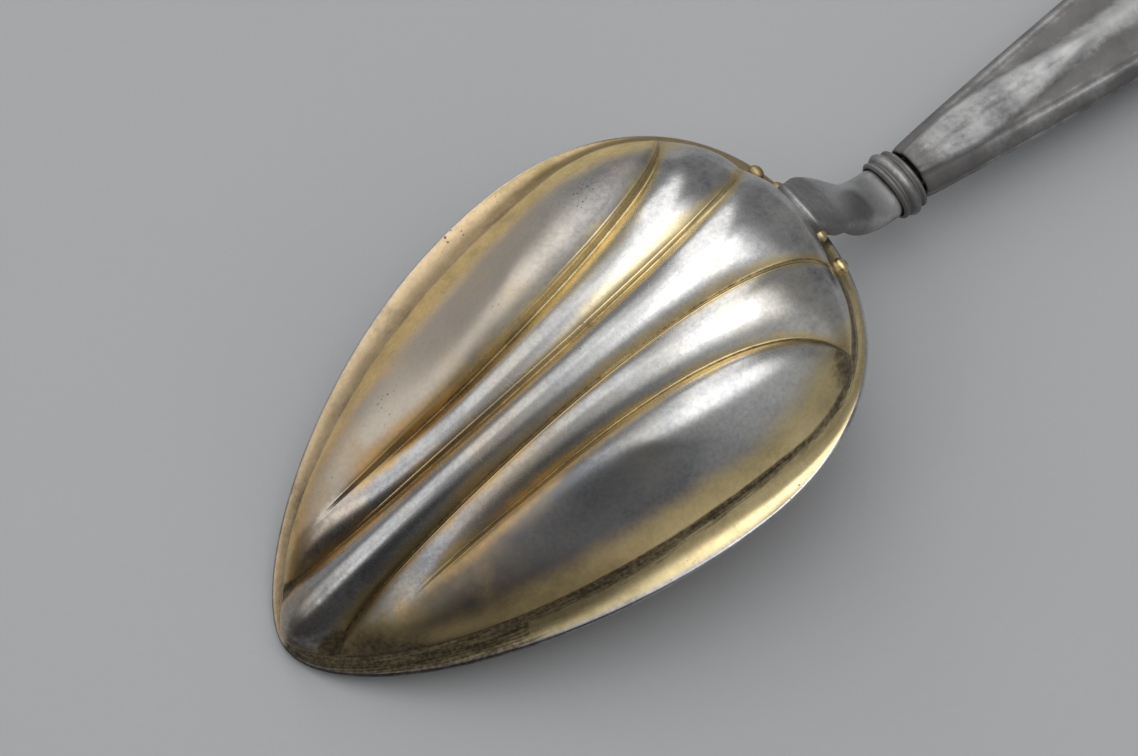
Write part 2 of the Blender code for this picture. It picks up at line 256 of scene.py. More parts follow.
soft_lamp("far_lamp", azimuth=72.0, elevation=41.0, distance=1.0, width=0.40, height=0.88, glow=1.45)
soft_lamp("top_lamp", azimuth=-15.0, elevation=83.5, distance=1.0, width=0.76, height=0.46, glow=1.1)

world = bpy.data.worlds.new("room")
world.use_nodes = True
bpy.context.scene.world = world
tree = world.node_tree
direction = put(tree, "ShaderNodeTexCoord").outputs["Generated"]


def towards(azimuth, elevation, low, high):
    """1 for the part of the room that lies in one direction from the spoon, 0 away from it."""
    inputs = {0: direction, 1: heading(azimuth, elevation)}
    facing = put(tree, "ShaderNodeVectorMath", inputs, operation="DOT_PRODUCT")
    return soft_step(facing.outputs["Value"], low, high)


def overhead(centre, half, fade):
    """1 in a window above the spoon, 0 outside it; the sizes are those it has at a height of one metre."""
    x, y, z = put(tree, "ShaderNodeSeparateXYZ", {"Vector": direction}).outputs
    up = largest(z, 0.05)
    shares = []
    for part, middle, reach in zip((x, y), centre, half):
        off = calc("ABSOLUTE", calc("SUBTRACT", calc("DIVIDE", part, up), middle))
        shares.append(soft_fall(off, reach - fade, reach + fade))
    return product(*shares)


ROOM_GLOW = 0.27
ROOM_DARKEST = 0.02
parts = [
    (overhead((0.11, -0.03), (0.40, 0.58), 0.22), 1.35),
    (towards(124.0, 40.0, 0.86, 0.985), 0.78),
    (towards(170.0, 45.0, 0.970, 0.999), 1.30),
    (towards(-80.0, 36.0, 0.80, 0.96), 0.22),
    (towards(-140.0, 18.0, 0.70, 0.88), -0.24),
    (towards(165.0, 4.0, 0.80, 0.95), -0.18),
]
glow = ROOM_GLOW
for share, strength in parts:
    glow = summed(product(share, strength), glow)
glow = largest(glow, ROOM_DARKEST)
tree.links.new(glow, tree.nodes["Background"].inputs["Strength"])
tree.nodes["Background"].inputs["Color"].default_value = (0.98, 0.99, 1.0, 1.0)

# %% [markdown]
# ## Modelling helpers
# Each piece starts from a primitive and is worked in edit mode, the way a hand would do it. Pieces whose
# surface follows a formula, such as the lobes of the bowl, start from a grid whose points are laid on that
# formula.


# %% Modelling helpers
def choose(piece):
    bpy.ops.object.select_all(action="DESELECT")
    piece.select_set(True)
    bpy.context.view_layer.objects.active = piece


def open_piece(piece):
    """Edit mode with everything selected."""
    choose(piece)
    bpy.ops.object.mode_set(mode="EDIT")
    bpy.ops.mesh.select_all(action="SELECT")


def close_piece():
    bpy.ops.object.mode_set(mode="OBJECT")


def laid_grid(name, rows, columns, place, fields=()):
    """A grid laid on place(row share, column share), which gives a point and then one number per field."""
    bpy.ops.mesh.primitive_grid_add(x_subdivisions=columns, y_subdivisions=rows, size=2.0)
    grid = bpy.context.object
    grid.name = name
    laid = []
    for vertex in grid.data.vertices:
        at, *numbers = place((vertex.co.y + 1.0) / 2.0, (vertex.co.x + 1.0) / 2.0)
        vertex.co = at
        laid.append(numbers)
    for field_name, values in zip(fields, zip(*laid)):
        mark = grid.data.attributes.new(field_name, "FLOAT", "POINT")
        mark.data.foreach_set("value", values)
    return grid


def joined(name, parts):
    bpy.ops.object.select_all(action="DESELECT")
    for part in parts:
        part.select_set(True)
    bpy.context.view_layer.objects.active = parts[0]
    bpy.ops.object.join()
    parts[0].name = name
    return parts[0]


def face_out(piece, side=1):
    """Turns a sheet's faces so that they look up, or down where side is -1."""
    open_piece(piece)
    bpy.ops.mesh.normals_make_consistent(inside=False)
    close_piece()
    if sum(face.normal.z * face.area for face in piece.data.polygons) * side < 0:
        open_piece(piece)
        bpy.ops.mesh.flip_normals()
        close_piece()


def add_modifier(piece, kind, **settings):
    """Adds a modifier and applies it at once."""
    choose(piece)
    made = piece.modifiers.new(kind.title(), kind)
    for name, value in settings.items():
        setattr(made, name, value)
    bpy.ops.object.modifier_apply(modifier=made.name)


def subdivide(piece):
    add_modifier(piece, "SUBSURF", levels=1, render_levels=1)


def settle(piece):
    """Makes a piece's place, turn and scale part of its mesh."""
    choose(piece)
    bpy.ops.object.transform_apply(location=True, rotation=True, scale=True)


def dress(piece, node, surface):
    """Puts a finished piece on the spoon in place of its CAD node."""
    choose(piece)
    bpy.ops.object.shade_smooth()
    piece.data.materials.clear()
    piece.data.materials.append(surface)
    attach(piece, "root")
    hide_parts(node)
    piece.data.calc_loop_triangles()
    low = [min(vertex.co[i] for vertex in piece.data.vertices) for i in range(3)]
    high = [max(vertex.co[i] for vertex in piece.data.vertices) for i in range(3)]
    print(piece.name, len(piece.data.loop_triangles), "triangles, mm", size_mm(low, high),
          "CAD", size_mm(*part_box(node)))


# %% [markdown]
# ## Bowl: the lines it hangs on
# The real bowl is pressed from one sheet between a die and a punch. Its shape is given by a few curves,
# worked out from the photograph: the rim, the groove inside the flared flange, and on each side two grooves
# that run from the tip to the heel. They are the same curves as in the CAD model, measured in metres from
# the tip: along, across and up.

# %% Bowl sizes
BOWL_LENGTH = 0.0754
BOWL_HALF = 0.0246
BOWL_DEPTH = 0.0122
BOWL_SHEET = 0.0010
BOWL_PITCH = math.radians(12.7)
SPOON_LENGTH = 0.214555
RIM_ARCH = 0.0044
FLANGE_TIP = 0.0013
FLANGE_SIDE = 0.0037
FLANGE_HEEL = 0.0020
FLANGE_RISE_TIP = 0.0010
FLANGE_RISE_SIDE = 0.0016
FLANGE_RISE_HEEL = 0.0034
RIM_SHAPE = (0.66, 0.37, 0.336, 0.855, 0.67)
FLANGE_SHAPE = (0.744, 0.267, 0.27, 0.883, 0.665)
GROOVE_1_BEND = ((0.21, 0.07, 0.80), (0.97, 0.03, 1.39))
GROOVE_2_BEND = ((0.28, 0.285, 0.62), (0.85, 0.20, 1.43))
MERGED_TO, MERGED_FADE = 0.06, 0.36
SIDE_PACE = 0.7
TIP_MEET_1, TIP_MEET_2 = 0.21, 0.285
HEEL_MEET_1, HEEL_MEET_2 = 1.78, 1.45


# %% Bowl curves
def bezier(a, b, c, d, t):
    r = 1.0 - t
    return a * r**3 + b * (3 * r * r * t) + c * (3 * r * t * t) + d * t**3


def smooth(t):
    t = min(1.0, max(0.0, t))
    return t * t * (3.0 - 2.0 * t)


def blunt(t):
    """Rise of a rounded end: 0 at the end itself, 1 from t = 1 on."""
    t = min(1.0, max(0.0, t))
    return math.sqrt(1.0 - (1.0 - t) ** 2)


def outline(tau, tip, heel, half, shape):
    """A closed curve's half, from tau = 0 at the tip, through 1 at the widest place, to 2 at the heel."""
    widest, tip_round, tip_run, heel_run, heel_round = shape
    middle = Vector((widest * BOWL_LENGTH, half))
    if tau <= 1.0:
        first = Vector((tip, tip_round * half))
        second = Vector((tip_run * BOWL_LENGTH, half))
        return bezier(Vector((tip, 0.0)), first, second, middle, tau)
    first = Vector((heel_run * BOWL_LENGTH, half))
    second = Vector((heel, heel_round * half))
    return bezier(middle, first, second, Vector((heel, 0.0)), tau - 1.0)


def rim(tau):
    at = outline(tau, 0.0, BOWL_LENGTH, BOWL_HALF, RIM_SHAPE)
    return Vector((at.x, at.y, RIM_ARCH * math.sin(math.pi * at.x / BOWL_LENGTH)))


def flange_groove(tau):
    at = outline(tau, FLANGE_TIP, BOWL_LENGTH - FLANGE_HEEL, BOWL_HALF - FLANGE_SIDE, FLANGE_SHAPE)
    ends = abs(math.cos(math.pi * tau / 2)) ** 3
    rise_end = FLANGE_RISE_TIP if tau < 1.0 else FLANGE_RISE_HEEL
    return Vector((at.x, at.y, rim(tau).z + FLANGE_RISE_SIDE + (rise_end - FLANGE_RISE_SIDE) * ends))


def groove(bend, start, finish, s):
    bends = [Vector((a * BOWL_LENGTH, b * BOWL_HALF, c * BOWL_DEPTH)) for a, b, c in bend]
    return bezier(flange_groove(start), bends[0], bends[1], flange_groove(finish), s)


def merged(s):
    """1 near the tip, where the two side lobes are one rounded form, and 0 where a groove parts them."""
    return 1.0 - smooth((s - MERGED_TO) / MERGED_FADE)


def groove_1(s):
    return groove(GROOVE_1_BEND, TIP_MEET_1, HEEL_MEET_1, s)


OUTER_BULGE = 0.21


def groove_2(s):
    at = groove(GROOVE_2_BEND, TIP_MEET_2, HEEL_MEET_2, s)
    inside = groove_1(s)
    span = (side_line(s) - inside).length
    across = min(1.0, (at - inside).length / span)
    return at + Vector((0.0, 0.0, OUTER_BULGE * span * 4.0 * across * (1.0 - across) * merged(s)))


def side_tau(s):
    return TIP_MEET_2 + (HEEL_MEET_2 - TIP_MEET_2) * s**SIDE_PACE


def side_line(s):
    return flange_groove(side_tau(s))


print("widest groove at", in_mm(groove_2(0.6)), "mm in the bowl's own frame")

# %% [markdown]
# ## Bowl: the lobes between the lines
# Between two neighbouring curves the sheet swells up into a lobe. Each lobe is a grid whose rows follow the
# bowl from tip to heel and whose columns lie close together near the grooves, so that the grooves stay
# crisp. Every point also carries how far it is, in millimetres, from the two grooves, from the flange groove
# and from the rim: the finish reads those distances later, because wear and tarnish follow the relief.

# %% Lobe formulas
CENTRE_BULGE = 0.23
INNER_BULGE = 0.205
INNER_STEEP = 0.88
OUTER_LEAN = 0.3
OUTER_STEEP = 0.72
OUTER_STEEP_LOW = 0.55
OUTER_SHALLOW = 0.60
SHALLOW_TO, SHALLOW_FADE = 0.2, 0.45
STEEPER_FROM, STEEPER_FADE = 0.3, 0.4
BANK_FROM, BANK_FADE = 0.12, 0.22
FLANGE_FLARE = 0.16
HEEL_ROUND = 0.65
TIP_FULLNESS = 0.55
BOWL_FIELDS = ("along", "crease_in", "crease_out", "lip", "edge")
FAR = 8.0


def upward(along, across):
    normal = along.cross(across)
    if normal.length < 1e-12:
        return Vector((0.0, 0.0, 1.0))
    normal.normalize()
    return normal if normal.z > 0 else -normal


def slope(line, s):
    return line(min(1.0, s + 0.01)) - line(max(0.0, s - 0.01))


def between(start, finish, q):
    """How far the flange's groove bows away from the straight line between two of its points."""
    chord = flange_groove(start).lerp(flange_groove(finish), q)
    return flange_groove(start + (finish - start) * q) - chord


def at_tip_end(s):
    """1 at the very tip, 0 from a tenth of the way on: there a lobe bends over to the flange's groove."""
    return 1.0 - smooth(s / 0.1)


def at_heel_end(s):
    return smooth((s - 0.8) / 0.2)


def near_ends(s):
    """Distance in millimetres to the nearer end of a lobe, counted three times over."""
    return 3.0 * 1000 * BOWL_LENGTH * min(s, 1.0 - s)


def widths(s):
    """Widths of the half centre lobe, the inner lobe and the outer lobe, in millimetres."""
    a, b = groove_1(s), groove_2(s)
    return a.y * 1000, (b - a).length * 1000, (side_line(s) - b).length * 1000


def swell(s, q, low, steep):
    """Height of a lobe across its width, from 0 to 1; a lower power makes a steeper bank at q = 0."""
    power = low + (steep - low) * smooth((s - STEEPER_FROM) / STEEPER_FADE)
    u = q ** (1.0 - (1.0 - power) * smooth((s - BANK_FROM) / BANK_FADE))
    return 4.0 * u * (1.0 - u)


def centre_lobe(s, q):
    """Half of the middle lobe: q = 0 on its crest, 1 in the inner groove."""
    line = groove_1(s)
    at = Vector((line.x, line.y * q, line.z))
    along = slope(groove_1, s)
    along.y = 0.0
    full = CENTRE_BULGE * (1.0 + TIP_FULLNESS * (1.0 - smooth(s / 0.55)))
    rise = full * 2.0 * line.y * (1.0 - q * q) * blunt(s / 0.07) * blunt((1.0 - s) / HEEL_ROUND)
    at += upward(along, Vector((0.0, 1.0, 0.0))) * rise
    tip, heel = groove_1(0.0), groove_1(1.0)
    tip_end = flange_groove(TIP_MEET_1 * q) - Vector((tip.x, tip.y * q, tip.z))
    heel_end = flange_groove(2.0 - (2.0 - HEEL_MEET_1) * q) - Vector((heel.x, heel.y * q, heel.z))
    at += tip_end * at_tip_end(s) + heel_end * at_heel_end(s)
    centre, inner, _ = widths(s)
    crease = -(1.0 - q) * centre
    return at, s, crease, max(-FAR, crease - inner), -min(FAR, near_ends(s)), FAR


def inner_lobe(s, q):
    a, b = groove_1(s), groove_2(s)
    whole = (side_line(s) - a).length
    share = min(1.0, (b - a).length / whole)
    bulge = INNER_BULGE + (OUTER_BULGE * share - INNER_BULGE) * merged(s)
    fullness = swell(s, q, INNER_STEEP, INNER_STEEP) * smooth(s / 0.1) * blunt((1.0 - s) / HEEL_ROUND)
    rise = bulge * (b - a).length * fullness
    at = a.lerp(b, q) + upward(slope(groove_1, s) + slope(groove_2, s), b - a) * rise
    at += between(TIP_MEET_1, TIP_MEET_2, q) * at_tip_end(s)
    at += between(HEEL_MEET_1, HEEL_MEET_2, q) * at_heel_end(s)
    _, inner, outer = widths(s)
    return at, s, q * inner, -(1.0 - q) * inner, -min(FAR, near_ends(s), outer + (1.0 - q) * inner), FAR


def outer_lobe(s, q):
    a, b = groove_2(s), side_line(s)
    share = min(1.0, (a - groove_1(s)).length / (b - groove_1(s)).length)
    shallow = OUTER_SHALLOW * (1.0 - merged(s)) * (1.0 - smooth((s - SHALLOW_TO) / SHALLOW_FADE))
    bulge = OUTER_BULGE * (1.0 - share * merged(s)) * (1.0 - shallow)
    lean = 1.0 + OUTER_LEAN * (1.0 - merged(s)) * (1.0 - 2.0 * q)
    rise = bulge * (b - a).length * swell(s, q, OUTER_STEEP_LOW, OUTER_STEEP) * lean
    at = a.lerp(b, q) + upward(slope(groove_2, s) + slope(side_line, s), b - a) * rise
    _, inner, outer = widths(s)
    return at, s, inner + q * outer, q * outer, -min(FAR, near_ends(s), (1.0 - q) * outer), FAR


def flange_along(tau):
    share = (tau - TIP_MEET_2) / (HEEL_MEET_2 - TIP_MEET_2)
    return min(1.0, max(0.0, share)) ** (1.0 / SIDE_PACE)


def flange(tau, q):
    """From the groove round the lobes out to the rim, dished so that it flares."""
    inside, edge = flange_groove(tau), rim(tau)
    wide = (edge - inside).length
    at = inside.lerp(edge, q) - Vector((0.0, 0.0, FLANGE_FLARE * wide * 4.0 * q * (1.0 - q)))
    return at, flange_along(tau), FAR, FAR, q * wide * 1000, (1.0 - q) * wide * 1000


# %% [markdown]
# ## Bowl: laying the sheet
# The three lobes of one half and the flange round them are laid as four grids, joined along their shared
# edges and mirrored. The open sheet is then extruded straight down by its thickness, the rim is rounded with
# a bevel, and one level of subdivision smooths the whole. A hand could never place these lobes with single
# pulls, so the formula does the placing and the operators do the rest.

# %% Lay one half of the bowl
BOWL_ROWS = 84
CENTRE_COLUMNS = 9
INNER_COLUMNS = 12
OUTER_COLUMNS = 20
FLANGE_COLUMNS = 8
RIM_ROUND = 0.00028


def to_both_ends(t, strength=0.10):
    """Shares from 0 to 1 that lie closer together at both ends."""
    return t - strength * math.sin(2.0 * math.pi * t)


def to_far_end(t):
    return 1.0 - (1.0 - t) ** 1.35


def lay_centre(t, u):
    return centre_lobe(to_both_ends(t), to_far_end(u))


def lay_inner(t, u):
    return inner_lobe(to_both_ends(t), to_both_ends(u))


def lay_outer(t, u):
    return outer_lobe(to_both_ends(t), to_both_ends(u, 0.12))


centre_steps = [to_far_end(i / CENTRE_COLUMNS) for i in range(CENTRE_COLUMNS + 1)]
inner_steps = [to_both_ends(i / INNER_COLUMNS) for i in range(INNER_COLUMNS + 1)]
flange_taus = [TIP_MEET_1 * q for q in centre_steps]
flange_taus += [TIP_MEET_1 + (TIP_MEET_2 - TIP_MEET_1) * q for q in inner_steps[1:-1]]
flange_taus += [side_tau(to_both_ends(i / BOWL_ROWS)) for i in range(BOWL_ROWS + 1)]
flange_taus += [HEEL_MEET_2 + (HEEL_MEET_1 - HEEL_MEET_2) * (1.0 - q) for q in reversed(inner_steps[:-1])]
flange_taus += [2.0 - (2.0 - HEEL_MEET_1) * q for q in reversed(centre_steps[:-1])]


def lay_flange(t, u):
    return flange(flange_taus[round(t * (len(flange_taus) - 1))], to_both_ends(u, 0.06))


half_parts = [
    laid_grid("centre", BOWL_ROWS, CENTRE_COLUMNS, lay_centre, BOWL_FIELDS),
    laid_grid("inner", BOWL_ROWS, INNER_COLUMNS, lay_inner, BOWL_FIELDS),
    laid_grid("outer", BOWL_ROWS, OUTER_COLUMNS, lay_outer, BOWL_FIELDS),
    laid_grid("flange", len(flange_taus) - 1, FLANGE_COLUMNS, lay_flange, BOWL_FIELDS),
]
bowl = joined("fine_bowl", half_parts)
open_piece(bowl)
bpy.ops.mesh.remove_doubles(threshold=0.00001)
close_piece()
print("half a bowl of", len(bowl.data.polygons), "faces")

# %% Mirror, thicken and round the rim
add_modifier(bowl, "MIRROR", use_axis=(False, True, False), merge_threshold=0.00002)
face_out(bowl)
open_piece(bowl)
bpy.ops.mesh.extrude_region_move(TRANSFORM_OT_translate={"value": (0.0, 0.0, -BOWL_SHEET)})
bpy.ops.mesh.select_all(action="SELECT")
bpy.ops.mesh.normals_make_consistent(inside=False)
sheet = bmesh.from_edit_mesh(bowl.data)
walls = [face for face in sheet.faces if abs(face.normal.z) < 0.05 and face.calc_area() > 0]
for face in sheet.faces:
    face.select = False
for edge in sheet.edges:
    edge.select = False
for wall in walls:
    for edge in wall.edges:
        if edge.calc_face_angle(0.0) > 0.8:
            edge.select = True
bmesh.update_edit_mesh(bowl.data)
bpy.ops.mesh.bevel(offset=RIM_ROUND, segments=2, affect="EDGES")
close_piece()
subdivide(bowl)
print("bowl wall faces", len(walls), "and now", len(bowl.data.polygons), "faces")

# %% Pitch the bowl into its place
bowl.rotation_euler.y = -BOWL_PITCH
bowl.location = (-SPOON_LENGTH / 2, 0.0, BOWL_SHEET * math.cos(BOWL_PITCH))
settle(bowl)
print("bowl pitched by", round(math.degrees(BOWL_PITCH), 1), "degrees")

# %% [markdown]
# ## Finish: three effects shared by every silver piece
# Old silver shows three things up close: hair-fine scratches from polishing and use, a mottled tarnish that
# is worst where a cloth can't reach, and tiny dark pits. Each one is a node group, so that every piece can
# use it with its own strength.


# %% Node group helper
def new_group(name, numbers, result):
    """A group that takes a place and some numbers, and gives one number."""
    made = bpy.data.node_groups.new(name, "ShaderNodeTree")
    made.interface.new_socket("Vector", in_out="INPUT", socket_type="NodeSocketVector")
    for number, value in numbers.items():
        socket = made.interface.new_socket(number, in_out="INPUT", socket_type="NodeSocketFloat")
        socket.default_value = value
    made.interface.new_socket(result, in_out="OUTPUT", socket_type="NodeSocketFloat")
    return made, made.nodes.new("NodeGroupInput").outputs, made.nodes.new("NodeGroupOutput").inputs


def use_group(group, inputs):
    return put(tree_of(*inputs.values()), "ShaderNodeGroup", inputs, node_tree=group).outputs


# %% Hair scratches
SCRATCH_TURNS = (0.35, 1.25, 2.3)

scratches, given, result = new_group("hair_scratches", {"Scale": 1.0}, "Height")
total = 0.0
for turn in SCRATCH_TURNS:
    laid = put(scratches, "ShaderNodeMapping", {"Vector": given["Vector"], "Rotation": (0.0, 0.0, turn)})
    drawn = put(scratches, "ShaderNodeMapping", {"Vector": laid.outputs[0], "Scale": (130.0, 5200.0, 1600.0)})
    sized = put(scratches, "ShaderNodeVectorMath", {0: drawn.outputs[0]}, operation="SCALE")
    scratches.links.new(given["Scale"], sized.inputs["Scale"])
    hair = noise(sized.outputs[0], 1.0, 2.0, 0.5)
    total = summed(soft_step(hair, 0.60, 0.74), total)
scratches.links.new(calc("MINIMUM", total, 1.0), result["Height"])
print("scratches in", len(SCRATCH_TURNS), "directions")

# %% Tarnish and pits
tarnish, given, result = new_group("mottled_tarnish", {"Amount": 0.5}, "Mask")
broad = noise(given["Vector"], 160.0, 5.0, 0.6)
fine = noise(given["Vector"], 1400.0, 3.0, 0.6)
mottle = summed(product(broad, 0.7), product(fine, 0.3))
pushed = summed(mottle, product(given["Amount"], 0.6))
tarnish.links.new(soft_step(pushed, 0.55, 0.95), result["Mask"])

pits, given, result = new_group("dark_pits", {"Scale": 1500.0, "Amount": 0.5}, "Mask")
inputs = {"Vector": given["Vector"], "Scale": given["Scale"], "Randomness": 1.0}
cells = put(pits, "ShaderNodeTexVoronoi", inputs)
patch = noise(given["Vector"], 110.0, 3.0)
reach = product(soft_step(summed(patch, given["Amount"]), 0.95, 1.35), 0.34)
dark = calc("SUBTRACT", reach, cells.outputs["Distance"])
pits.links.new(soft_step(dark, 0.0, 0.12), result["Mask"])
print("shared effects:", sorted(group.name for group in bpy.data.node_groups))

# %% [markdown]
# ## Finish of the bowl: worn gold wash
# The gold lies thin over the silver. It stays where nothing rubs: in the grooves, on the flanks beside the
# flange and on the flange itself. The distances that the mesh carries say where that is, and noise makes the
# border uneven. The two sides differ. On the near side, where across is negative, brown tarnish fills the
# creases and the tip, the hollow of the flange is darkened by tarnish and painted shade, the flange at the
# tip and the corner by the heel carry painted shade, and the side lobe is painted darker towards the tip as
# shade. On the far side the lobe is dull and warm, and the flange has turned tan and is painted darker
# towards the heel as shade. Painted shade also darkens the gold beside the grooves.

# %% Gold wash: where the gold is left
SILVER = (0.63, 0.62, 0.60, 1.0)
SILVER_DULL = (0.26, 0.265, 0.28, 1.0)
SILVER_WARM = (0.62, 0.505, 0.37, 1.0)
# A dark colour for painted shade on the near side lobe towards the tip.
NEAR_LOBE_SHADE_COLOUR = (0.115, 0.098, 0.082, 1.0)
GOLD = (0.74, 0.605, 0.33, 1.0)
GOLD_WARM = (0.78, 0.47, 0.18, 1.0)
# A dark gold used for painted shade and for real darker patches of gold.
GOLD_SHADE_AND_DARK = (0.35, 0.265, 0.13, 1.0)
TAN = (0.73, 0.56, 0.37, 1.0)
BROWN = (0.034, 0.022, 0.013, 1.0)

gilt, shader, where = new_material("worn_gold_wash")
tree = gilt.node_tree
along, crease_in, crease_out = field(tree, "along"), field(tree, "crease_in"), field(tree, "crease_out")
lip, edge = field(tree, "lip"), field(tree, "edge")
uneven = calc("SUBTRACT", noise(where, 240.0, 5.0, 0.6), 0.5)
grain = noise(where, 1900.0, 4.0, 0.65)

across = put(tree, "ShaderNodeSeparateXYZ", {"Vector": where}).outputs["Y"]
near = soft_fall(across, -0.001, 0.001)
far = soft_step(across, -0.001, 0.001)
not_begun = product(soft_fall(along, 0.06, 0.26), 4.0)
beside_in = calc("ABSOLUTE", crease_in)
beside_out = summed(calc("ABSOLUTE", crease_out), not_begun)
beside = calc("MINIMUM", beside_in, beside_out)
inward = product(lip, -1.0)
on_lobe = soft_fall(lip, -0.1, 0.1)

low_half = soft_fall(along, 0.22, 0.60)
outward = soft_step(crease_out, 0.0, 0.4)
narrow = calc("SUBTRACT", 1.35, product(low_half, summed(product(outward, 0.45), 0.35)))
far_inner = product(far, soft_step(crease_in, 0.0, 0.5), soft_fall(crease_out, -0.5, 0.0))
far_inner = product(far_inner, soft_step(along, 0.45, 0.60), soft_fall(along, 0.72, 0.90))
narrow = calc("SUBTRACT", narrow, product(far_inner, 0.85))
off_groove = product(summed(beside, product(uneven, 1.6)), narrow)
off_groove = soft_step(off_groove, 0.2, 1.7)
off_flange = soft_step(summed(inward, product(uneven, 2.4)), 2.2, 6.6)
veil = soft_step(noise(where, 70.0, 5.0, 0.6), 0.46, 0.74)
off_tip = soft_step(summed(along, product(uneven, 0.25)), 0.04, 0.24)
off_tip_far = product(far, soft_step(along, 0.02, 0.12), 0.75)
off_tip = largest(off_tip, soft_fall(crease_in, -1.2, 0.2), off_tip_far)
rubbed = product(off_groove, off_flange, off_tip, rest_of(product(veil, 0.35)))
worn_to = summed(product(near, 0.65), 0.45)
silver_share = largest(rubbed, soft_fall(edge, 0.15, worn_to))
print("where gold is left:", len(tree.nodes), "nodes")

# %% Gold wash: where tarnish and painted shade settle
side_lobe = product(soft_step(crease_out, 0.2, 1.6), on_lobe)
# Painted shade: the near side lobe, darker towards the tip.
near_lobe_shade = product(side_lobe, near, soft_fall(along, 0.38, 0.74))
warm = product(side_lobe, far)
far_flange = product(far, soft_step(lip, -0.1, 0.3))

at_tip = soft_fall(along, 0.0, 0.20)
in_crease = product(soft_fall(beside, 0.02, 0.20), on_lobe)
on_flange = soft_step(lip, 0.0, 0.3)
# Painted shade: the flange at the tip, mostly on the near side, is darkened brown; streaks break it up.
tip_flange_shade = product(soft_fall(along, 0.02, 0.34), on_flange, summed(product(near, 0.72), 0.05))
tip_corner = product(soft_fall(along, 0.015, 0.09), soft_fall(beside, 0.2, 1.2), on_lobe)
by_heel = product(near, soft_step(along, 0.74, 0.92))
# Painted shade: on the near side, the lobe's corner by the heel, beside the outer groove and the flange, is
# darkened.
heel_corner_shade = largest(soft_fall(beside_out, 0.3, 2.2), soft_fall(inward, 1.5, 6.5))
heel_corner_shade = product(heel_corner_shade, by_heel, soft_step(crease_out, -0.3, 0.2), on_lobe, 0.80)
run = put(tree, "ShaderNodeCombineXYZ", {"X": product(along, 22.0), "Y": product(lip, 3.6)})
streaks = calc("SUBTRACT", noise(run.outputs[0], 1.0, 4.0, 0.65), 0.5)
# The hollow inside the flange's lip is darkened, most on the near side and at the heel: partly tarnish in the
# hollow, partly painted shade.
hollow = soft_fall(summed(lip, product(streaks, 3.0)), 0.4, 1.9)
near_low = summed(product(near, low_half, 0.25), product(by_heel, 0.35), product(near, 0.40))
lip_tarnish_and_shade = product(soft_step(lip, -0.4, 0.15), hollow, summed(near_low, 0.25))
in_crease = product(in_crease, summed(product(near, 0.30), product(low_half, 0.20), 0.30))
streaked_tip_shade = summed(tip_flange_shade, product(streaks, tip_flange_shade, 1.5))
# This gathers real tarnish in the creases and at the tip with painted shade on the flange at the tip, in the
# near heel corner and partly in the lip's hollow.
dirt_and_shade = largest(in_crease, largest(lip_tarnish_and_shade, tip_corner), heel_corner_shade, streaked_tip_shade)
dirt_and_shade = summed(dirt_and_shade, product(at_tip, summed(product(near, 0.38), 0.22)))
brown_share = use_group(tarnish, {"Vector": where, "Amount": dirt_and_shade})["Mask"]
pit_amount = summed(product(on_flange, 0.10), product(warm, 0.07), 0.44)
pit_share = use_group(pits, {"Vector": where, "Scale": 1500.0, "Amount": pit_amount})["Mask"]
scratch = use_group(scratches, {"Vector": where, "Scale": 1.0})["Height"]
print("with tarnish:", len(tree.nodes), "nodes")

# %% Gold wash: colour and shine
mottle = soft_step(noise(where, 150.0, 8.0, 0.66), 0.36, 0.70)
# Near the heel a mottled band is dulled: partly mottled tarnish, partly a painted dark reflection.
heel_mottle_and_shade = product(soft_step(along, 0.76, 0.88), soft_fall(along, 0.90, 1.0), mottle)
specks = soft_step(grain, 0.40, 0.64)
dull = summed(product(mottle, 0.38), product(specks, 0.22), product(at_tip, 0.35))
upper = soft_step(along, 0.42, 0.75)
dull = summed(dull, product(near_lobe_shade, 0.16), product(warm, upper, 0.70), product(low_half, 0.20))
# Painted shade: on the near side, the inner and side lobes are darker towards the tip.
dull = summed(dull, product(near, soft_step(crease_in, 0.0, 1.0), low_half, 0.38))
# Painted shade: the near side lobe's bank beside the outer groove is dimmed in the tip half.
near_bank_shade = product(near, soft_step(crease_out, 0.2, 0.8), soft_fall(crease_out, 2.0, 6.0))
near_bank_shade = product(near_bank_shade, on_lobe, soft_fall(along, 0.42, 0.72))
dull = summed(dull, product(heel_mottle_and_shade, 0.6), product(near_bank_shade, 0.45))
dull = calc("MINIMUM", dull, 1.0)
metal = blend_colour(dull, SILVER, SILVER_DULL)
warmed = summed(product(veil, 0.3), product(upper, -0.45), 0.60)
metal = blend_colour(product(warm, warmed), metal, SILVER_WARM)
# Painted shade: the near side lobe turns dark towards the tip.
metal = blend_colour(product(near_lobe_shade, soft_fall(along, 0.18, 0.50), 0.85), metal, NEAR_LOBE_SHADE_COLOUR)

# Painted shade: the gold darkens beside the grooves, most towards the tip, on the far flange towards the heel
# and on the near lobe at the tip; the uneven noise and the specks add real darker gold.
shade_and_dark_gold = product(soft_fall(beside, 0.1, 1.3), on_lobe, summed(product(low_half, 0.3), 0.25))
shade_and_dark_gold = product(shade_and_dark_gold, rest_of(product(far, outward, 0.8)))
shade_and_dark_gold = summed(shade_and_dark_gold, product(far_flange, soft_step(along, 0.35, 0.62), 0.70))
near_tip_shade = product(near, soft_fall(along, 0.08, 0.40), on_lobe, 0.85)
shade_and_dark_gold = summed(shade_and_dark_gold, near_tip_shade, product(soft_step(uneven, -0.2, 0.3), 0.45), product(specks, 0.15))
beside_flange = soft_fall(inward, 3.0, 6.0)
warm_gold = product(low_half, on_lobe, calc("SUBTRACT", 0.9, product(beside_flange, 0.7)))
wash = blend_colour(warm_gold, GOLD, GOLD_WARM)
wash = blend_colour(product(far_flange, 0.88), wash, TAN)
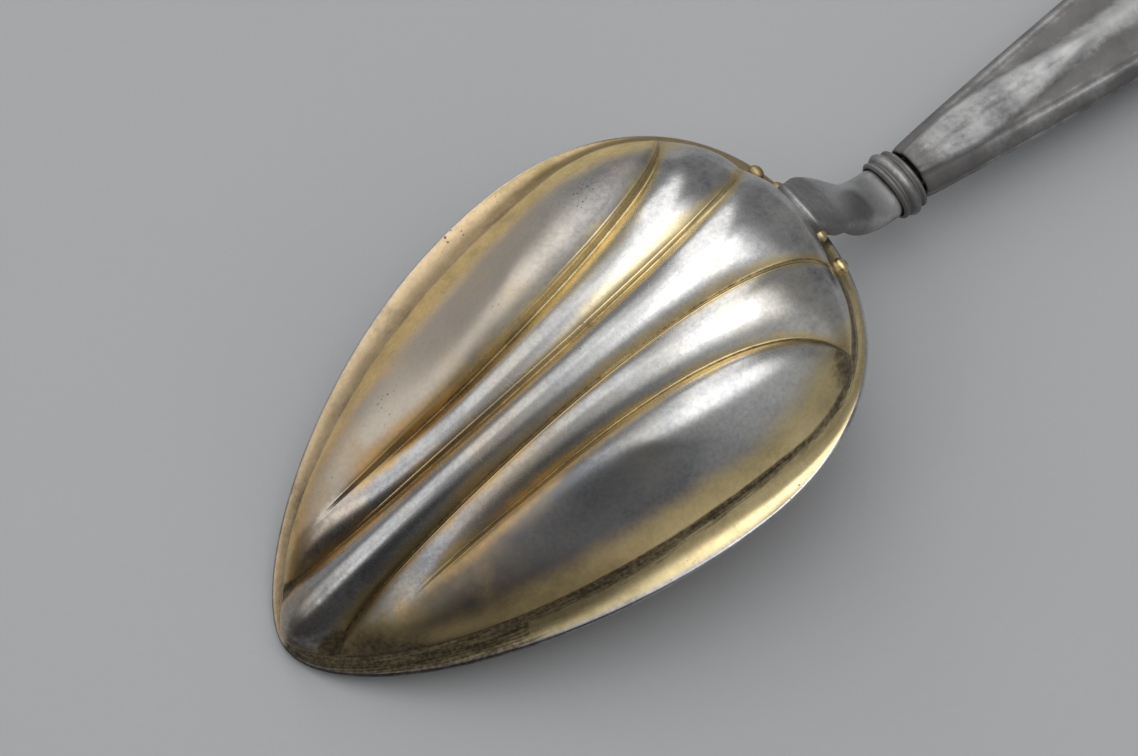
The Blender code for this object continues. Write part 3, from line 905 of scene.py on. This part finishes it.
wash = blend_colour(calc("MINIMUM", shade_and_dark_gold, 1.0), wash, GOLD_SHADE_AND_DARK)
colour = blend_colour(silver_share, wash, metal)
patchy = summed(product(streaks, on_flange, 1.2), product(specks, -0.22), 0.92)
# The brown stain is real tarnish and pits, and in places painted shade.
stain = product(brown_share, patchy)
stain = largest(calc("MINIMUM", stain, 0.95), product(pit_share, 0.75))
feed(shader, "Base Color", blend_colour(stain, colour, BROWN))

gilded = rest_of(silver_share)
rough = summed(product(dull, 0.10), product(stain, 0.12), product(scratch, 0.05))
rough = summed(rough, product(warm, 0.26), product(far_flange, 0.20), product(gilded, 0.07))
rough = summed(rough, product(side_lobe, near, 0.07), product(near_lobe_shade, 0.10))
rough = summed(rough, product(warm, gilded, 0.30), 0.17)
feed(shader, "Roughness", rough)
feed(shader, "Metallic", rest_of(product(stain, 0.35)))
print("with colour and shine:", len(tree.nodes), "nodes")


# %% Chased threads and hand-made unevenness of the bowl, as height in millimetres
def thread_beside(offset, at, half_width):
    """1 on a fine line that runs at a distance from a groove, 0 beside it."""
    off = calc("ABSOLUTE", calc("SUBTRACT", offset, at))
    return soft_fall(off, 0.0, half_width)


threads = summed(thread_beside(crease_in, 0.40, 0.16), thread_beside(crease_out, 0.40, 0.16))
threads = product(threads, on_lobe, soft_step(along, 0.10, 0.30))
planish = noise(where, 120.0, 2.0)
height = summed(product(threads, 0.05), product(planish, 0.012), product(grain, 0.0035))
height = summed(height, product(scratch, -0.0009), product(pit_share, -0.005))
height = summed(height, product(streaks, lip_tarnish_and_shade, 0.03))
emboss(shader, height)
dress(bowl, "bowl", gilt)

# %% [markdown]
# ## Finish of the plain silver
# The stem, the collar and the handle were never gilded. Their meshes carry one number, polish: on the collar
# and the handle 1 where a cloth and a hand rub and 0 in corners, on the stem 1 on top and 0 underneath.
# Tarnish gathers where it is low, and the shared effects do the rest.


# %% Old silver material
def old_silver(name, tarnished, gloss):
    """Silver that is darker for a higher tarnished and smoother for a lower gloss."""
    made, shader, where = new_material(name)
    corner = rest_of(field(made.node_tree, "polish"))
    amount = summed(product(corner, 0.62), tarnished - 0.35)
    brown_share = use_group(tarnish, {"Vector": where, "Amount": amount})["Mask"]
    pit_share = use_group(pits, {"Vector": where, "Scale": 1700.0, "Amount": 0.42})["Mask"]
    scratch = use_group(scratches, {"Vector": where, "Scale": 0.8})["Height"]
    dull = soft_step(noise(where, 150.0, 6.0, 0.62), 0.30, 0.75)
    dull = calc("MINIMUM", summed(product(dull, 0.5), tarnished * 0.5), 1.0)
    metal = blend_colour(dull, SILVER, SILVER_DULL)
    stain = largest(product(brown_share, 0.62), product(pit_share, 0.7))
    feed(shader, "Base Color", blend_colour(stain, metal, BROWN))
    rough = summed(product(dull, 0.12), product(stain, 0.22), product(scratch, 0.10), gloss)
    feed(shader, "Roughness", rough)
    feed(shader, "Metallic", rest_of(product(stain, 0.5)))
    height = calc("SUBTRACT", product(noise(where, 260.0, 2.0), 0.02), product(scratch, 0.0012))
    emboss(shader, calc("SUBTRACT", height, product(pit_share, 0.006)))
    return made


# %% [markdown]
# ## Stem
# The stem is one forged bar. Its tongue is lapped on the flange at the heel and soldered there, the shank
# bends down to the handle, and a tang runs on inside it. A grid is rolled round the bar's centre line, one
# row for each ring; near the tongue the lower half of each ring spreads into the fillet that the solder
# left.

# %% Stem sizes and centre line
TONGUE_WIDTH = 0.0084
TONGUE_THICKNESS = 0.0020
SHANK_WIDTH = 0.0068
SHANK_THICKNESS = 0.0038
TANG_ROOT_WIDTH = 0.0043
TANG_ROOT_THICKNESS = 0.0029
TANG_SHOULDER = 0.0020
TANG_LENGTH = 0.0460
TANG_WIDTH = 0.0026
TANG_THICKNESS = 0.0022
COLLAR_LENGTH = 0.0034
HANDLE_LENGTH = 0.1250
NECK_HEIGHT = 0.0078
END_HEIGHT = 0.0024
GAP = 0.0003
TONGUE_NOSE = 0.0011
STEM_BEND = 0.45
SOLDER_SPREAD = 0.18
SOLDER_FILL = 1.1
STEM_SQUARE = 2.6
STEM_SIDES = 32
NOSE_RINGS, LAP_RINGS, SHANK_RINGS = 6, 4, 25
MOUTH_X = SPOON_LENGTH / 2 - HANDLE_LENGTH


def bowl_to_world(at):
    cos, sin = math.cos(BOWL_PITCH), math.sin(BOWL_PITCH)
    x = at.x * cos - at.z * sin - SPOON_LENGTH / 2
    return Vector((x, at.y, at.x * sin + at.z * cos + BOWL_SHEET * cos))


level = Vector((HANDLE_LENGTH, 0.0, END_HEIGHT - NECK_HEIGHT)).normalized()
tongue_top = bowl_to_world(flange_groove(2.0))
tongue_edge = bowl_to_world(rim(2.0))
fall = (tongue_edge - tongue_top).normalized()
lift = Vector((-fall.z, 0.0, fall.x)) * (TONGUE_THICKNESS / 2 + GAP)
neck = Vector((MOUTH_X - COLLAR_LENGTH - GAP, 0.0, NECK_HEIGHT))
print("stem from", in_mm(tongue_top), "to the neck at", in_mm(neck))


# %% Stem rings
def stem_rings():
    """Centre, direction, width, thickness and solder share of each ring, from nose to tang."""
    rings = []
    for i in range(NOSE_RINGS):
        t = i / (NOSE_RINGS - 1)
        at = tongue_top + lift + fall * TONGUE_NOSE * (t - 1.0)
        width = TONGUE_WIDTH * (0.15 + 0.65 * blunt(t))
        rings.append((at, fall, width, TONGUE_THICKNESS * (0.3 + 0.7 * blunt(t)), 1.0))
    start = tongue_edge + lift
    bend = STEM_BEND * (neck - start).length
    for i in range(LAP_RINGS):
        t = (i + 1) / (LAP_RINGS + 1)
        at = tongue_top.lerp(tongue_edge, t) + lift
        rings.append((at, fall, TONGUE_WIDTH * (0.8 + 0.2 * smooth(t)), TONGUE_THICKNESS, 1.0))
    for i in range(SHANK_RINGS):
        t = i / (SHANK_RINGS - 1)
        at = bezier(start, start + fall * bend, neck - level * bend, neck, t)
        ahead = bezier(start, start + fall * bend, neck - level * bend, neck, t + 0.01)
        share = smooth((t * 12 + 1) / 8)
        width = TONGUE_WIDTH + (SHANK_WIDTH - TONGUE_WIDTH) * share
        thickness = TONGUE_THICKNESS + (SHANK_THICKNESS - TONGUE_THICKNESS) * share
        rings.append((at, ahead - at, width, thickness, 1.0 - smooth(t / 0.12)))
    through = neck + level * (COLLAR_LENGTH + 2.0 * GAP)
    rings.append((through, level, TANG_ROOT_WIDTH, TANG_ROOT_THICKNESS, 0.0))
    rings.append((through + level * TANG_SHOULDER, level, TANG_WIDTH, TANG_THICKNESS, 0.0))
    rings.append((through + level * TANG_LENGTH, level, TANG_WIDTH * 0.7, TANG_THICKNESS * 0.7, 0.0))
    return rings


RINGS = stem_rings()


def lay_stem(t, u):
    at, along, width, thickness, solder = RINGS[round(t * (len(RINGS) - 1))]
    up = Vector((-along.z, 0.0, along.x)).normalized()
    c, s = math.cos(2.0 * math.pi * u), math.sin(2.0 * math.pi * u)
    y = math.copysign(abs(c) ** (2.0 / STEM_SQUARE), c) * width / 2
    z = math.copysign(abs(s) ** (2.0 / STEM_SQUARE), s) * thickness / 2
    below = max(0.0, -s) * solder
    y *= 1.0 + SOLDER_SPREAD * below
    z -= GAP * SOLDER_FILL * below
    # Polish is high on the top of the bar, falls to 0 underneath and is halved where the solder is, so the
    # bar is darker underneath.
    return at + Vector((0.0, y, 0.0)) + up * z, smooth((s + 0.6) / 1.2) * (1.0 - 0.5 * solder)


stem = laid_grid("fine_stem", len(RINGS) - 1, STEM_SIDES, lay_stem, ("polish",))
open_piece(stem)
bpy.ops.mesh.remove_doubles(threshold=0.000002)
bpy.ops.mesh.select_all(action="DESELECT")
bpy.ops.mesh.select_non_manifold()
bpy.ops.mesh.fill_holes(sides=0)
bpy.ops.mesh.select_all(action="SELECT")
bpy.ops.mesh.normals_make_consistent(inside=False)
close_piece()
subdivide(stem)
dress(stem, "stem", old_silver("stem_silver_dark", 0.62, 0.26))

# %% [markdown]
# ## Drops at the heel
# Four small gilded drops catch the light beside the stem: one on each edge of its tongue and one on the
# flange at the end of each inner groove. Each is a ball pressed a little flat and sunk into what it sits on.

# %% Drops at the heel
DROP_RADIUS = 0.00080
DROP_SHAPE = (1.0, 1.25, 0.85)
DROP_PLACES = ((1.92, 0.50, 0.0016), (1.83, 0.66, 0.0002))
GILDED_FIELDS = {"along": 0.9, "crease_in": 9.0, "crease_out": 9.0, "lip": 1.6, "edge": 2.0}

balls = []
for tau, share, raised in DROP_PLACES:
    for side in (1.0, -1.0):
        at = flange(tau, share)[0]
        place = bowl_to_world(Vector((at.x, at.y * side, at.z + raised)))
        bpy.ops.mesh.primitive_uv_sphere_add(segments=32, ring_count=16, radius=DROP_RADIUS, location=place)
        balls.append(bpy.context.object)
        balls[-1].scale = DROP_SHAPE
        settle(balls[-1])
drops = joined("heel_drops", balls)
for name, value in GILDED_FIELDS.items():
    mark = drops.data.attributes.new(name, "FLOAT", "POINT")
    mark.data.foreach_set("value", [value] * len(drops.data.vertices))
choose(drops)
bpy.ops.object.shade_smooth()
drops.data.materials.append(gilt)
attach(drops, "root")
print("drops", len(balls), "of", round(DROP_RADIUS * 2000, 1), "mm")

# %% [markdown]
# ## Collar
# The collar is a moulded ring that hides the joint between stem and handle. A turned ring is what Spin is
# for: its profile is drawn once, two small beads with a larger swell between them, and spun round the axis.
# Then the outer and the inner wall are widened each by its own amount, because the stem and the handle are
# oval there.

# %% Spin the collar
COLLAR_HALF_WIDTH = 0.0044
COLLAR_HALF_THICKNESS = 0.0032
BORE_HALF_WIDTH = 0.0036
BORE_HALF_THICKNESS = 0.0021
COLLAR_STEPS = 48
WALL_MIDDLE = 0.72
COLLAR_PROFILE = (
    (0.00, 0.80), (0.03, 0.88), (0.10, 0.93), (0.17, 0.90), (0.22, 0.84), (0.27, 0.84),
    (0.33, 0.93), (0.41, 0.985), (0.50, 1.00), (0.59, 0.985), (0.67, 0.93),
    (0.73, 0.84), (0.78, 0.84), (0.83, 0.90), (0.90, 0.93), (0.97, 0.88), (1.00, 0.80),
)

bore_share = BORE_HALF_THICKNESS / COLLAR_HALF_THICKNESS
profile = [*COLLAR_PROFILE, (1.00, bore_share), (0.50, bore_share), (0.00, bore_share)]
bpy.ops.mesh.primitive_circle_add(vertices=len(profile), radius=0.001, fill_type="NOTHING")
collar = bpy.context.object
collar.name = "fine_collar"
for vertex, (x, radius) in zip(collar.data.vertices, profile):
    vertex.co = (x * COLLAR_LENGTH, 0.0, radius * COLLAR_HALF_THICKNESS)
open_piece(collar)
bpy.ops.mesh.spin(steps=COLLAR_STEPS, angle=2.0 * math.pi, center=(0.0, 0.0, 0.0), axis=(1.0, 0.0, 0.0))
bpy.ops.mesh.select_all(action="SELECT")
bpy.ops.mesh.remove_doubles(threshold=0.000005)
bpy.ops.mesh.normals_make_consistent(inside=False)
close_piece()
print("collar profile of", len(profile), "points, spun to", len(collar.data.polygons), "faces")

# %% Widen and place the collar
middle_radius = WALL_MIDDLE * COLLAR_HALF_THICKNESS
outer_widen = COLLAR_HALF_WIDTH / COLLAR_HALF_THICKNESS
inner_widen = BORE_HALF_WIDTH / BORE_HALF_THICKNESS
for inner, widen in ((False, outer_widen), (True, inner_widen)):
    open_piece(collar)
    ring = bmesh.from_edit_mesh(collar.data)
    for vertex in ring.verts:
        vertex.select_set((math.hypot(vertex.co.y, vertex.co.z) < middle_radius) == inner)
    ring.select_flush_mode()
    bmesh.update_edit_mesh(collar.data)
    bpy.ops.transform.resize(value=(1.0, widen, 1.0), center_override=(0.0, 0.0, 0.0))
    close_piece()
subdivide(collar)
collar.rotation_euler.y = math.atan2(-level.z, level.x)
collar.location = neck
settle(collar)
polish = collar.data.attributes.new("polish", "FLOAT", "POINT")
for vertex in collar.data.vertices:
    away = vertex.co - neck
    away -= level * away.dot(level)
    full = math.hypot(away.y / COLLAR_HALF_WIDTH, away.z / COLLAR_HALF_THICKNESS)
    polish.data[vertex.index].value = smooth((full - 0.80) / 0.18)
dress(collar, "collar", old_silver("collar_silver_worn", 0.84, 0.38))

# %% [markdown]
# ## Handle
# The handle is struck in two half shells from thin sheet, soldered edge to edge and filled with cement. The
# back, which lies upwards here, has a rib down its middle between two flutes, a thread along each border and
# a small leaf over the neck. Each shell is a grid laid on that relief, thickened with Solidify and smoothed
# with one level of subdivision.

# %% Handle sizes
HANDLE_MOUTH_WIDTH = 0.0066
HANDLE_WIDTH = 0.0220
HANDLE_MOUTH_THICKNESS = 0.0050
HANDLE_THICKNESS = 0.0062
HANDLE_SHEET = 0.0006
SEAM_LIP = 0.0004
HANDLE_RIB = 0.0005
END_ROUND = 0.14
LEAF_REACH = 0.23
LEAF_HEIGHT = 0.00034
BORDER_THREADS = ((0.00026, 1.0, 0.34), (0.00014, 1.9, 0.20))
ROW_CROWDING = 1.6


def handle_point(k):
    return Vector((MOUTH_X + HANDLE_LENGTH * k, 0.0, NECK_HEIGHT + (END_HEIGHT - NECK_HEIGHT) * k))


def handle_end(k):
    return blunt((1.0 - k) / END_ROUND)


def handle_half_width(k):
    grow = math.sin(k**0.9 * math.pi / 2)
    return (HANDLE_MOUTH_WIDTH + (HANDLE_WIDTH - HANDLE_MOUTH_WIDTH) * grow) / 2 * handle_end(k)


def handle_half_thickness(k):
    grow = smooth(k / 0.4)
    return (HANDLE_MOUTH_THICKNESS + (HANDLE_THICKNESS - HANDLE_MOUTH_THICKNESS) * grow) / 2 * handle_end(k)


def hump(offset, width):
    return math.exp(-((offset / width) ** 2))


# %% Handle relief
def border_threads(k, across):
    """Fine threads that follow the border; BORDER_THREADS has height in metres, inset and width in mm."""
    half = handle_half_width(k)
    inset = half * (1.0 - abs(across)) * 1000
    room = smooth((half * 1000 - 3.4) / 2.5) * handle_end(k)
    return sum(high * hump(inset - place, wide) for high, place, wide in BORDER_THREADS) * room


def neck_leaf(k, across):
    """A pointed leaf over the neck, with a sunk vein and fluted sides."""
    reach = k / LEAF_REACH
    if reach >= 1.0:
        return 0.0
    half = 0.86 * (1.0 - reach) ** 0.62 * (0.72 + 0.28 * smooth(reach / 0.3))
    body = smooth((half - abs(across)) / 0.10)
    vein = 0.5 * hump(across, 0.06)
    flutes = 0.22 * math.cos(26.0 * (abs(across) - 1.4 * reach))
    return LEAF_HEIGHT * body * (1.0 + flutes - vein)


def handle_relief(k, across, side):
    relief = border_threads(k, across)
    if side > 0:
        crest = hump(across, 0.22) - 0.6 * hump(abs(across) - 0.5, 0.2)
        relief += HANDLE_RIB * crest * handle_end(k) * smooth((k - 0.10) / 0.15)
        relief += neck_leaf(k, across)
    return relief


# %% Lay the two shells
HANDLE_ROWS = 120
HANDLE_COLUMNS = 58


def lay_shell(side):
    def place(t, u):
        k = 1.0 - (1.0 - t) ** ROW_CROWDING
        column = round(u * HANDLE_COLUMNS)
        at, half = handle_point(k), handle_half_width(k)
        if column in (0, HANDLE_COLUMNS):
            across = 1.0 if column == 0 else -1.0
            return Vector((at.x, half * across, at.z + side * GAP / 2)), 0.2
        turn = math.pi * (column - 1) / (HANDLE_COLUMNS - 2)
        across = math.cos(turn)
        relief = handle_relief(k, across, side)
        height = GAP / 2 + SEAM_LIP + handle_half_thickness(k) * math.sin(turn) + relief
        polish = smooth((relief + 0.00022) / 0.0006) * smooth(k / 0.04)
        return Vector((at.x, half * across, max(0.0, at.z + side * height))), polish

    return place


def make_shell(name, side):
    shell = laid_grid(name, HANDLE_ROWS, HANDLE_COLUMNS, lay_shell(side), ("polish",))
    open_piece(shell)
    bpy.ops.mesh.remove_doubles(threshold=0.000002)
    close_piece()
    face_out(shell, side)
    add_modifier(shell, "SOLIDIFY", thickness=HANDLE_SHEET, offset=-1.0)
    subdivide(shell)
    return shell


handle_back = make_shell("fine_handle_back", 1)
handle_front = make_shell("fine_handle_front", -1)
dress(handle_back, "handle_back", old_silver("handle_silver_back", 0.62, 0.42))
dress(handle_front, "handle_front", old_silver("handle_silver_front", 0.42, 0.40))

# %% [markdown]
# ## Filling
# The cement inside the handle is a cast of resin and plaster. It is seen only when the shells are taken off,
# so its CAD solid stays as it is and only gets its finish: a grainy brown mass with pale grains and small
# air holes.

# %% Cement material
CEMENT_DARK = (0.060, 0.040, 0.026, 1.0)
CEMENT_PALE = (0.210, 0.155, 0.105, 1.0)

cement, shader, where = new_material("handle_cement")
grains = soft_step(noise(where, 1300.0, 5.0, 0.7), 0.35, 0.75)
air_holes = use_group(pits, {"Vector": where, "Scale": 900.0, "Amount": 0.62})["Mask"]
body = blend_colour(grains, CEMENT_DARK, CEMENT_PALE)
feed(shader, "Base Color", blend_colour(air_holes, body, BROWN))
feed(shader, "Roughness", summed(product(grains, 0.2), 0.65))
emboss(shader, calc("SUBTRACT", product(grains, 0.05), product(air_holes, 0.10)))
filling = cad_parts["handle_filling"]
filling.data.materials.clear()
filling.data.materials.append(cement)
print("filling keeps its CAD solid of", len(filling.data.polygons), "faces")

new_low, new_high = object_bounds()
print("box in mm, CAD", size_mm(cad_low, cad_high), "dressed", size_mm(new_low, new_high))
